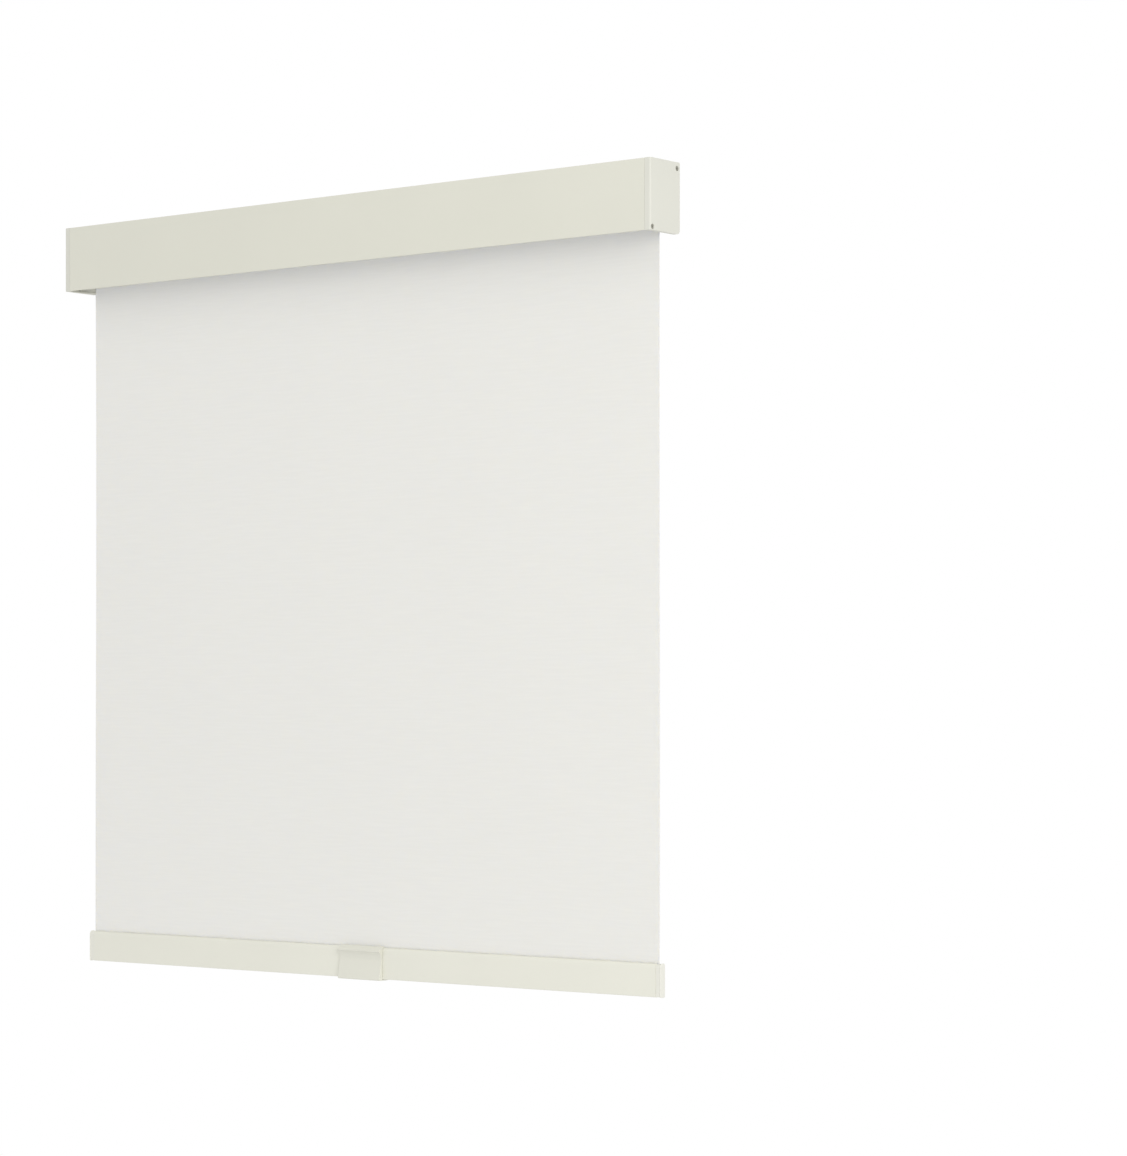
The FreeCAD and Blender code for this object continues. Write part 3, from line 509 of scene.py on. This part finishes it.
def mechanism_moulding():
    return finish_named("mechanism_moulding", moulded_plastic, (0.075, 0.08, 0.085))


def spline_moulding():
    return finish_named("spline_moulding", moulded_plastic, (0.72, 0.71, 0.66))


def plated_sheet():
    return finish_named("zinc_plated_sheet", galvanised_sheet, (0.56, 0.58, 0.60))


def bright_steel():
    return finish_named("bright_drawn_steel", drawn_metal, (0.50, 0.50, 0.51),
                        roughness=0.32, stretch=(0.05, 1, 1))


def spring_wire_steel():
    return finish_named("oiled_spring_wire", drawn_metal, (0.32, 0.31, 0.30), roughness=0.30)


def bare_aluminium():
    return finish_named("mill_finish_aluminium", drawn_metal, (0.66, 0.67, 0.68),
                        roughness=0.34, stretch=(0.02, 1, 1))


def browned_steel():
    return finish_named("browned_screw_steel", drawn_metal, (0.330, 0.322, 0.270),
                        roughness=0.45, metallic=0.3)


def adhesive_film():
    return finish_named("adhesive_film", moulded_plastic, (0.80, 0.80, 0.76), roughness=0.2)


# Building blocks

def new_piece(name, bm, material=None, smooth_angle=math.radians(35)):
    """Turn a bmesh into a piece whose gentle edges are shaded smooth."""
    mesh = bpy.data.meshes.new(name)
    bm.to_mesh(mesh)
    bm.free()
    if material:
        mesh.materials.append(material)
    mesh.shade_smooth()
    mesh.set_sharp_from_angle(angle=smooth_angle)
    piece = bpy.data.objects.new(name, mesh)
    bpy.context.scene.collection.objects.link(piece)
    return piece


def merged_copy(node):
    """A bmesh copy of a CAD node with its loose triangles joined into clean faces."""
    bm = bmesh.new()
    bm.from_mesh(frame["nodes"][node].data)
    bmesh.ops.remove_doubles(bm, verts=bm.verts, dist=TINY)
    bmesh.ops.dissolve_limit(bm, angle_limit=math.radians(0.5), verts=bm.verts, edges=bm.edges,
                             use_dissolve_boundaries=False, delimit=set())
    return bm


def crisp_edges(bm, angle=math.radians(40)):
    """The outward edges that are sharper than the angle."""
    return [edge for edge in bm.edges
            if len(edge.link_faces) == 2 and edge.is_convex and edge.calc_face_angle(0) > angle]


def soften(bm, edges, width, segments=2):
    """Round edges off with the bevel tool."""
    bmesh.ops.bevel(bm, geom=edges, offset=width, offset_type="OFFSET", segments=segments,
                    profile=0.5, affect="EDGES", clamp_overlap=True, material=-1)


def even_shading(piece):
    """Let the large faces rule the shading, so that flat faces stay flat beside rounded edges."""
    weigh = piece.modifiers.new("even_shading", "WEIGHTED_NORMAL")
    weigh.keep_sharp = True


def settle(piece, smooth_angle=math.radians(40)):
    """Make a piece's modifiers real, and its sharp edges sharp."""
    view = bpy.context.evaluated_depsgraph_get()
    view.update()
    mesh = bpy.data.meshes.new_from_object(piece.evaluated_get(view))
    piece.modifiers.clear()
    piece.data = mesh
    mesh.shade_smooth()
    mesh.set_sharp_from_angle(angle=smooth_angle)


def stand_for(piece, node):
    """The piece takes a CAD node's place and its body."""
    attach(piece, frame["nodes"][node]["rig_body"])
    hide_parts(node)
    return piece


def dress(node, name, material, chosen=None, width=0.0):
    """A cleaned copy of a CAD node in a new finish, with its chosen edges rounded off."""
    bm = merged_copy(node)
    if chosen:
        soften(bm, [edge for edge in crisp_edges(bm) if chosen(edge)], width)
    piece = new_piece(name, bm, material)
    even_shading(piece)
    return stand_for(piece, node)


def kind_of(geometry, kind):
    """The parts of one kind in what a mesh tool gave back."""
    return [part for part in geometry if isinstance(part, kind)]


def extruded(bm, edge):
    """Draw a face out of an edge, and give its new corners, its new far edge and the face."""
    made = bmesh.ops.extrude_edge_only(bm, edges=[edge])["geom"]
    corners = kind_of(made, bmesh.types.BMVert)
    far = next(part for part in kind_of(made, bmesh.types.BMEdge)
               if all(corner in corners for corner in part.verts))
    return corners, far, kind_of(made, bmesh.types.BMFace)[0]


def sweep(bm, ring, centre, axis, climb, angle, steps):
    """Close a ring of edges, spin it along a helix and close its other end."""
    bmesh.ops.contextual_create(bm, geom=ring)
    spun = bmesh.ops.spin(bm, geom=ring, cent=centre, axis=axis, dvec=climb, angle=angle,
                          steps=steps, use_merge=False, use_duplicate=False)
    bmesh.ops.contextual_create(bm, geom=kind_of(spun["geom_last"], bmesh.types.BMEdge))
    bmesh.ops.recalc_face_normals(bm, faces=bm.faces)


def coil(name, material, centre, radius, wire, x0, x1, turns, steps=20, sides=8):
    """A wire coil along X, spun in one go from a ring, with closed ends."""
    bm = bmesh.new()
    place = Matrix.Translation((x0 + wire / 2, centre.y, centre.z + radius))
    bmesh.ops.create_circle(bm, segments=sides, radius=wire / 2, matrix=place)
    count = int(turns * steps)
    climb = (x1 - x0 - wire) / count
    sweep(bm, bm.edges[:], centre, X_AXIS, (climb, 0, 0), 2 * math.pi * turns, count)
    return new_piece(name, bm, material, math.radians(60))


def on_outer_face(edge):
    """True for an edge that lies in one of the shade's two end faces."""
    return all(abs(abs(corner.co.x) - cad_high.x) < FACE_TOLERANCE for corner in edge.verts)


def any_edge(edge):
    """True, so that every crisp edge is rounded off."""
    return True


def long_edge(edge):
    """True for a latch's edge that is long enough to be rounded off."""
    return edge.calc_length() > LATCH_SHORTEST


# Pieces

class SHADE_OT_cassette(bpy.types.Operator):
    """Finish the cassette extrusion in satin powder coat"""
    bl_idname = "shade.cassette"
    bl_label = "Cassette"

    def execute(self, context):
        dress("fascia_profile", "fascia", cassette_coat(context.scene))
        return {"FINISHED"}


class SHADE_OT_end_caps(bpy.types.Operator):
    """Finish the moulded end caps, with their outer edges rounded off"""
    bl_idname = "shade.end_caps"
    bl_label = "End caps"

    def execute(self, context):
        width = context.scene.shade_finish.soft_edge
        for side in ("left", "right"):
            dress("end_cap_" + side, "end_cap_shell_" + side,
                  cap_moulding(context.scene), on_outer_face, width)
        return {"FINISHED"}


class SHADE_OT_screws(bpy.types.Operator):
    """Model the self-tapping screws of the end caps, each with a cross recess"""
    bl_idname = "shade.screws"
    bl_label = "Cap screws"

    def execute(self, context):
        scene = context.scene
        for side, sign in (("left", -1), ("right", 1)):
            node = "cap_screws_" + side
            low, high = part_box(node)
            outer_x = sign * max(abs(low.x), abs(high.x))
            radius = scene.shade_finish.screw_head / 2
            spots = ((low.y + radius, low.z + radius), (high.y - radius, high.z - radius))
            for place, (y, z) in zip(("front", "rear"), spots):
                screw = cap_screw(f"screw_{place}_{side}", Vector((outer_x, y, z)), sign,
                                  high.x - low.x, scene.shade_finish, browned_steel())
                stand_for(screw, node)
        return {"FINISHED"}


def cap_screw(name, place, sign, length, finish, material):
    """A pan-head self-tapping screw along X: a domed head with a cross recess, and a thread."""
    bm = bmesh.new()
    bmesh.ops.create_circle(bm, cap_ends=True, segments=32, radius=finish.screw_head / 2)
    raised = bmesh.ops.extrude_face_region(bm, geom=bm.faces[:])["geom"]
    top = kind_of(raised, bmesh.types.BMVert)
    bmesh.ops.translate(bm, verts=top, vec=(0, 0, finish.screw_head_height))
    rim = [edge for edge in bm.edges if all(corner in top for corner in edge.verts)]
    soften(bm, rim, finish.screw_head_height * RIM_ROUND, segments=4)
    bmesh.ops.recalc_face_normals(bm, faces=bm.faces)
    head = new_piece(name, bm, material, math.radians(40))
    cut_recess(head, finish)
    shank = length - finish.screw_head_height
    core = finish.screw_core / 2
    bm = bmesh.new()
    add_thread(bm, core, finish.screw_thread / 2, -shank, -shank * BARE_SHANK,
               finish.screw_pitch)
    bmesh.ops.create_cone(bm, cap_ends=True, segments=20, radius1=core * CORE_TIP,
                          radius2=core, depth=shank,
                          matrix=Matrix.Translation((0, 0, -shank / 2)))
    bm.from_mesh(head.data)
    turn = Matrix.Rotation(math.radians(90) * sign, 4, "Y")
    bmesh.ops.transform(bm, verts=bm.verts, matrix=Matrix.Translation(
        place - Vector((sign * finish.screw_head_height, 0, 0))) @ turn)
    bm.to_mesh(head.data)
    bm.free()
    head.data.shade_smooth()
    head.data.set_sharp_from_angle(angle=math.radians(40))
    return head


def cut_recess(head, finish):
    """Cut the tapered cross recess into a screw's head, with two bars as the cutter."""
    bm = bmesh.new()
    for turn in (0, 90):
        made = bmesh.ops.create_cube(bm, size=1)["verts"]
        bmesh.ops.scale(bm, verts=made, vec=(finish.screw_head * CROSS_LENGTH,
                                             finish.screw_head * CROSS_WIDTH,
                                             finish.screw_head_height * CROSS_HEIGHT))
        foot = [corner for corner in made if corner.co.z < 0]
        bmesh.ops.scale(bm, verts=foot, vec=(CROSS_FOOT, 1, 1))
        bmesh.ops.translate(bm, verts=made, vec=(0, 0, finish.screw_head_height))
        bmesh.ops.rotate(bm, verts=made, cent=(0, 0, 0),
                         matrix=Matrix.Rotation(math.radians(turn), 3, "Z"))
    cutter = new_piece(head.name + "_cutter", bm, head.data.materials[0])
    carve = head.modifiers.new("recess", "BOOLEAN")
    carve.operation = "DIFFERENCE"
    carve.solver = "EXACT"
    carve.use_self = True
    carve.object = cutter
    settle(head)
    bpy.data.objects.remove(cutter)


def add_thread(bm, core, crest, z0, z1, pitch, steps=14):
    """Wind a ridge of triangular section about Z, from z0 up to z1."""
    half = pitch * THREAD_HALF
    root = core * THREAD_ROOT
    corners = [bm.verts.new(spot) for spot in
               ((root, 0, z0), (crest, 0, z0 + half), (root, 0, z0 + 2 * half))]
    ring = [bm.edges.new((corners[index], corners[(index + 1) % 3])) for index in range(3)]
    turns = (z1 - z0 - 2 * half) / pitch
    count = int(turns * steps)
    sweep(bm, ring, Vector((0, 0, 0)), Z_AXIS, (0, 0, pitch * turns / count),
          2 * math.pi * turns, count)


class SHADE_OT_brackets(bpy.types.Operator):
    """Finish the sheet-steel brackets, their rivets and their turning latches"""
    bl_idname = "shade.brackets"
    bl_label = "Brackets and latches"

    def execute(self, context):
        for side in ("left", "right"):
            dress("mounting_bracket_" + side, "bracket_" + side,
                  plated_sheet(), any_edge, BRACKET_EDGE)
            dress("latch_lever_" + side, "latch_" + side, latch_moulding(),
                  long_edge, LATCH_EDGE)
            dress("latch_rivet_" + side, "rivet_" + side, bright_steel())
        return {"FINISHED"}


class SHADE_OT_roller(bpy.types.Operator):
    """Finish the roller tube and the plugs and pins in its ends"""
    bl_idname = "shade.roller"
    bl_label = "Roller"

    def execute(self, context):
        dress("roller_tube", "roller_barrel", bare_aluminium())
        for node in ("idle_plug", "bearing_plug", "idle_retainer", "spring_anchor",
                     "spring_crown", "brake_cup", "brake_hub"):
            dress(node, node + "_moulding", mechanism_moulding())
        for node in ("idle_pin", "spring_shaft"):
            dress(node, node + "_turned", bright_steel())
        dress("shaft_clip", "shaft_clip_stamping", spring_wire_steel())
        return {"FINISHED"}


class SHADE_OT_springs(bpy.types.Operator):
    """Wind the lifting spring, the brake's wrap spring and the idle pin's spring"""
    bl_idname = "shade.springs"
    bl_label = "Springs"

    def execute(self, context):
        finish = context.scene.shade_finish
        for node, name, wire, turns in (
                ("torsion_spring", "lifting_spring", finish.spring_wire, None),
                ("brake_spring", "wrap_spring", finish.brake_wire, None),
                ("idle_pin_spring", "pin_spring", finish.pin_wire, finish.pin_turns)):
            low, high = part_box(node)
            centre = Vector((0, (low.y + high.y) / 2, (low.z + high.z) / 2))
            radius = (high.z - low.z) / 2 - wire / 2
            count = turns or int((high.x - low.x) / wire)
            piece = coil(name, spring_wire_steel(), centre, radius, wire * WIRE_FIT,
                         low.x, high.x, count)
            stand_for(piece, node)
            if node == "idle_pin_spring":
                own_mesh(piece)
        return {"FINISHED"}


class SHADE_OT_fabric(bpy.types.Operator):
    """Hang the cloth: the turns on the tube, the sheet down to the rail and the hem in it"""
    bl_idname = "shade.fabric"
    bl_label = "Fabric"

    def execute(self, context):
        cloth = context.scene.shade_cloth
        width = 2 * cloth_half
        sheet = hanging_sheet(cloth, plain_weave("sheet_weave", cloth, width, sheet_length,
                                                 cloth.glow))
        stand_for(sheet, "fabric_drop")
        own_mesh(sheet)
        roll, wound = wound_cloth(cloth)
        roll.data.materials.append(plain_weave("roll_weave", cloth, width, wound))
        thicken(roll)
        stand_for(roll, "fabric_roll")
        hem, hem_length = hem_loop()
        hem.data.materials.append(plain_weave("hem_weave", cloth, hem_high.x - hem_low.x,
                                              hem_length))
        thicken(hem)
        stand_for(hem, "fabric_hem")
        tape = dress("fabric_tape", "tape_strip", adhesive_film())
        return {"FINISHED"}


def thicken(piece):
    """Give a cloth piece its thickness, half to each side."""
    solid = piece.modifiers.new("thickness", "SOLIDIFY")
    solid.thickness = cloth_thickness
    solid.offset = 0.0
    solid.use_even_offset = True
    settle(piece)


def ripple_share(down):
    """How freely the sheet ripples: not at all at its top and foot, fully between them."""
    if not 0 < down < FLAT_FROM:
        return 0.0
    return math.sin(math.pi * min(1.0, down * HUMP_RATE)) ** HUMP_POWER


def hanging_sheet(cloth, material):
    """The flat sheet: a fine grid turned upright, with a slow ripple that dies at top and foot."""
    bm = bmesh.new()
    bm.loops.layers.uv.new("cloth")
    bmesh.ops.create_grid(bm, x_segments=SHEET_COLUMNS, y_segments=SHEET_ROWS, size=0.5,
                          calc_uvs=True)
    bmesh.ops.scale(bm, verts=bm.verts, vec=(2 * cloth_half, sheet_length, 1))
    bmesh.ops.rotate(bm, verts=bm.verts, cent=(0, 0, 0),
                     matrix=Matrix.Rotation(math.radians(90), 3, "X"))
    bmesh.ops.translate(bm, verts=bm.verts,
                        vec=(0, cloth_y, (sheet_low + drop_high.z) / 2))
    for corner in bm.verts:
        down = (drop_high.z - corner.co.z) / sheet_length
        side = corner.co.x / cloth_half
        wander = sum(strength * math.sin(across * side + along * down + start)
                     for strength, across, along, start in RIPPLE_WAVES)
        wander += SIDE_CURL * side ** SIDE_CURL_POWER
        corner.co.y += cloth.ripple * ripple_share(down) * wander
    sheet = new_piece("hanging_fabric", bm, material)
    thicken(sheet)
    return sheet


def wound_cloth(cloth):
    """The turns on the tube: a line of cloth swept round in small steps as it winds inwards."""
    steps = round(cloth.wound_turns * TURN_STEPS)
    inner_radius = tube_radius + INNER_TURN_RISE
    shrink = (roll_radius - inner_radius) / steps
    centre = Vector((0, tube_centre.y, tube_centre.z))
    turn = Matrix.Rotation(2 * math.pi / TURN_STEPS, 3, "X")
    bm = bmesh.new()
    uv = bm.loops.layers.uv.new("cloth")
    edge = bm.edges.new([bm.verts.new((x, cloth_y, tube_centre.z))
                         for x in (-cloth_half, cloth_half)])
    wound = 0.0
    for step in range(steps):
        radius = roll_radius - shrink * step
        corners, edge, face = extruded(bm, edge)
        bmesh.ops.rotate(bm, verts=corners, cent=centre, matrix=turn)
        share = (radius - shrink) / radius
        bmesh.ops.scale(bm, verts=corners, vec=(1, share, share),
                        space=Matrix.Translation(-centre))
        arc = 2 * math.pi * radius / TURN_STEPS
        for loop in face.loops:
            loop[uv].uv = (0.5 + loop.vert.co.x / cloth_half / 2,
                           wound + (arc if loop.vert in corners else 0))
        wound += arc
    for face in bm.faces:
        for loop in face.loops:
            loop[uv].uv.y /= wound
    return new_piece("wound_fabric", bm), wound


def hem_loop():
    """The cloth's end in the rail, below the sheet: down the slot and once round the spline."""
    half = (hem_high.x - hem_low.x) / 2
    loop_radius = (hem_high.y - hem_low.y) / 2 - cloth_thickness / 2
    centre = Vector((0, spline_centre.y, spline_centre.z))
    straight = hem_top - centre.z - loop_radius
    length = straight + HEM_TURN * loop_radius
    bm = bmesh.new()
    uv = bm.loops.layers.uv.new("cloth")
    top = bm.edges.new([bm.verts.new((x, cloth_y, hem_top)) for x in (-half, half)])
    corners, edge, _ = extruded(bm, top)
    bmesh.ops.translate(bm, verts=corners, vec=(0, 0, -straight))
    bmesh.ops.spin(bm, geom=[edge], cent=centre, axis=X_AXIS, angle=HEM_TURN, steps=HEM_STEPS,
                   use_merge=False, use_duplicate=False)
    for face in bm.faces:
        for loop in face.loops:
            spot = loop.vert.co
            down = min(straight, hem_top - spot.z)
            lean = math.atan2(spot.y - centre.y, spot.z - centre.z) % (2 * math.pi)
            run = down if down < straight - TINY else straight + loop_radius * lean
            loop[uv].uv = (0.5 + spot.x / half / 2, run / length)
    return new_piece("hem_fabric", bm), length


class SHADE_OT_rail(bpy.types.Operator):
    """Finish the bottom rail and its end caps"""
    bl_idname = "shade.rail"
    bl_label = "Bottom rail"

    def execute(self, context):
        scene = context.scene
        dress("bottom_rail", "rail_extrusion", rail_coat(scene))
        dress("hem_spline", "spline_rod", spline_moulding())
        for side in ("left", "right"):
            dress("rail_end_cap_" + side, "rail_cap_" + side,
                  rail_cap_moulding(scene), any_edge, RAIL_CAP_EDGE)
        return {"FINISHED"}


class SHADE_OT_pull(bpy.types.Operator):
    """Finish the finger pull, with its edges rounded off"""
    bl_idname = "shade.pull"
    bl_label = "Finger pull"

    def execute(self, context):
        scene = context.scene
        dress("pull_handle", "finger_pull", pull_moulding(scene),
              any_edge, scene.shade_finish.soft_edge)
        return {"FINISHED"}


# Studio

def softbox(name, aim, power, place, width, height):
    """A rectangular lamp that faces a point."""
    lamp = bpy.data.lights.new(name, "AREA")
    lamp.shape = "RECTANGLE"
    lamp.size = width
    lamp.size_y = height
    lamp.energy = power
    stand = bpy.data.objects.new(name, lamp)
    stand.location = place
    stand.rotation_euler = (aim - Vector(place)).to_track_quat("-Z", "Y").to_euler()
    bpy.context.scene.collection.objects.link(stand)


def level_plane(name, material, height):
    """A large level surface at the given height."""
    bm = bmesh.new()
    bmesh.ops.create_grid(bm, x_segments=1, y_segments=1, size=FLOOR_HALF,
                          matrix=Matrix.Translation((0, 0, height)))
    return new_piece(name, bm, material)


def white_room(strength):
    """A world that is seen as white, and that lights the part with the given strength."""
    world = bpy.data.worlds.new("white_room")
    world.use_nodes = True
    nodes = world.node_tree.nodes
    links = world.node_tree.links
    level = nodes.new("ShaderNodeMapRange")
    level.inputs["To Min"].default_value = strength
    level.inputs["To Max"].default_value = 1.0
    links.new(seen_rays(nodes, links), level.inputs["Value"])
    links.new(level.outputs["Result"], nodes["Background"].inputs["Strength"])
    nodes["Background"].inputs["Color"].default_value = (1, 1, 1, 1)
    return world


def level_camera(studio):
    """A camera that looks level, with its picture shifted instead of tilted."""
    lens = bpy.data.cameras.new("camera")
    lens.lens = studio.focal_length
    lens.shift_y = studio.camera_rise
    camera = bpy.data.objects.new("camera", lens)
    camera.location = studio.camera_place
    camera.rotation_euler = (math.radians(90), 0, studio.camera_turn)
    bpy.context.scene.collection.objects.link(camera)
    return camera


class SHADE_OT_studio(bpy.types.Operator):
    """Set up the floor, the white room, the softboxes and the camera"""
    bl_idname = "shade.studio"
    bl_label = "Studio"

    def execute(self, context):
        scene = context.scene
        studio = scene.shade_studio
        middle = (cad_low + cad_high) / 2
        floor = level_plane("floor", studio_white("floor_white", (0.95, 0.95, 0.95)),
                            cad_low.z - studio.floor_drop)
        softbox("side_softbox", middle, studio.key_light, **SIDE_SOFTBOX)
        softbox("top_softbox", middle, studio.top_light, **TOP_SOFTBOX)
        scene.world = white_room(studio.room_light)
        scene.camera = level_camera(studio)
        scene.view_settings.view_transform = "Standard"
        return {"FINISHED"}


class SHADE_PT_sidebar(bpy.types.Panel):
    """Lists the pieces of the shade and their sizes and colours"""
    bl_idname = "SHADE_PT_sidebar"
    bl_label = "Roller shade"
    bl_space_type = "VIEW_3D"
    bl_region_type = "UI"
    bl_category = "Shade"

    def draw(self, context):
        scene = context.scene
        for group in (scene.shade_paint, scene.shade_cloth, scene.shade_finish,
                      scene.shade_studio):
            box = self.layout.box()
            for name in group.__annotations__:
                box.prop(group, name)
        for step in STEPS:
            self.layout.operator(step.bl_idname)


GROUPS = {
    "shade_paint": ShadePaint,
    "shade_cloth": ShadeCloth,
    "shade_finish": ShadeFinish,
    "shade_studio": ShadeStudio,
}
STEPS = (
    SHADE_OT_cassette, SHADE_OT_end_caps, SHADE_OT_screws, SHADE_OT_brackets, SHADE_OT_roller,
    SHADE_OT_springs, SHADE_OT_fabric, SHADE_OT_rail, SHADE_OT_pull, SHADE_OT_studio,
)


def register():
    for name, group in GROUPS.items():
        bpy.utils.register_class(group)
        setattr(bpy.types.Scene, name, PointerProperty(type=group))
    for step in STEPS:
        bpy.utils.register_class(step)
    bpy.utils.register_class(SHADE_PT_sidebar)


def unregister():
    bpy.utils.unregister_class(SHADE_PT_sidebar)
    for step in reversed(STEPS):
        bpy.utils.unregister_class(step)
    for name, group in GROUPS.items():
        delattr(bpy.types.Scene, name)
        bpy.utils.unregister_class(group)


def main():
    register()
    for step in STEPS:
        area, action = step.bl_idname.split(".")
        if getattr(getattr(bpy.ops, area), action)() != {"FINISHED"}:
            raise RuntimeError(step.bl_label + " wasn't finished")


if __name__ == "__main__":
    main()
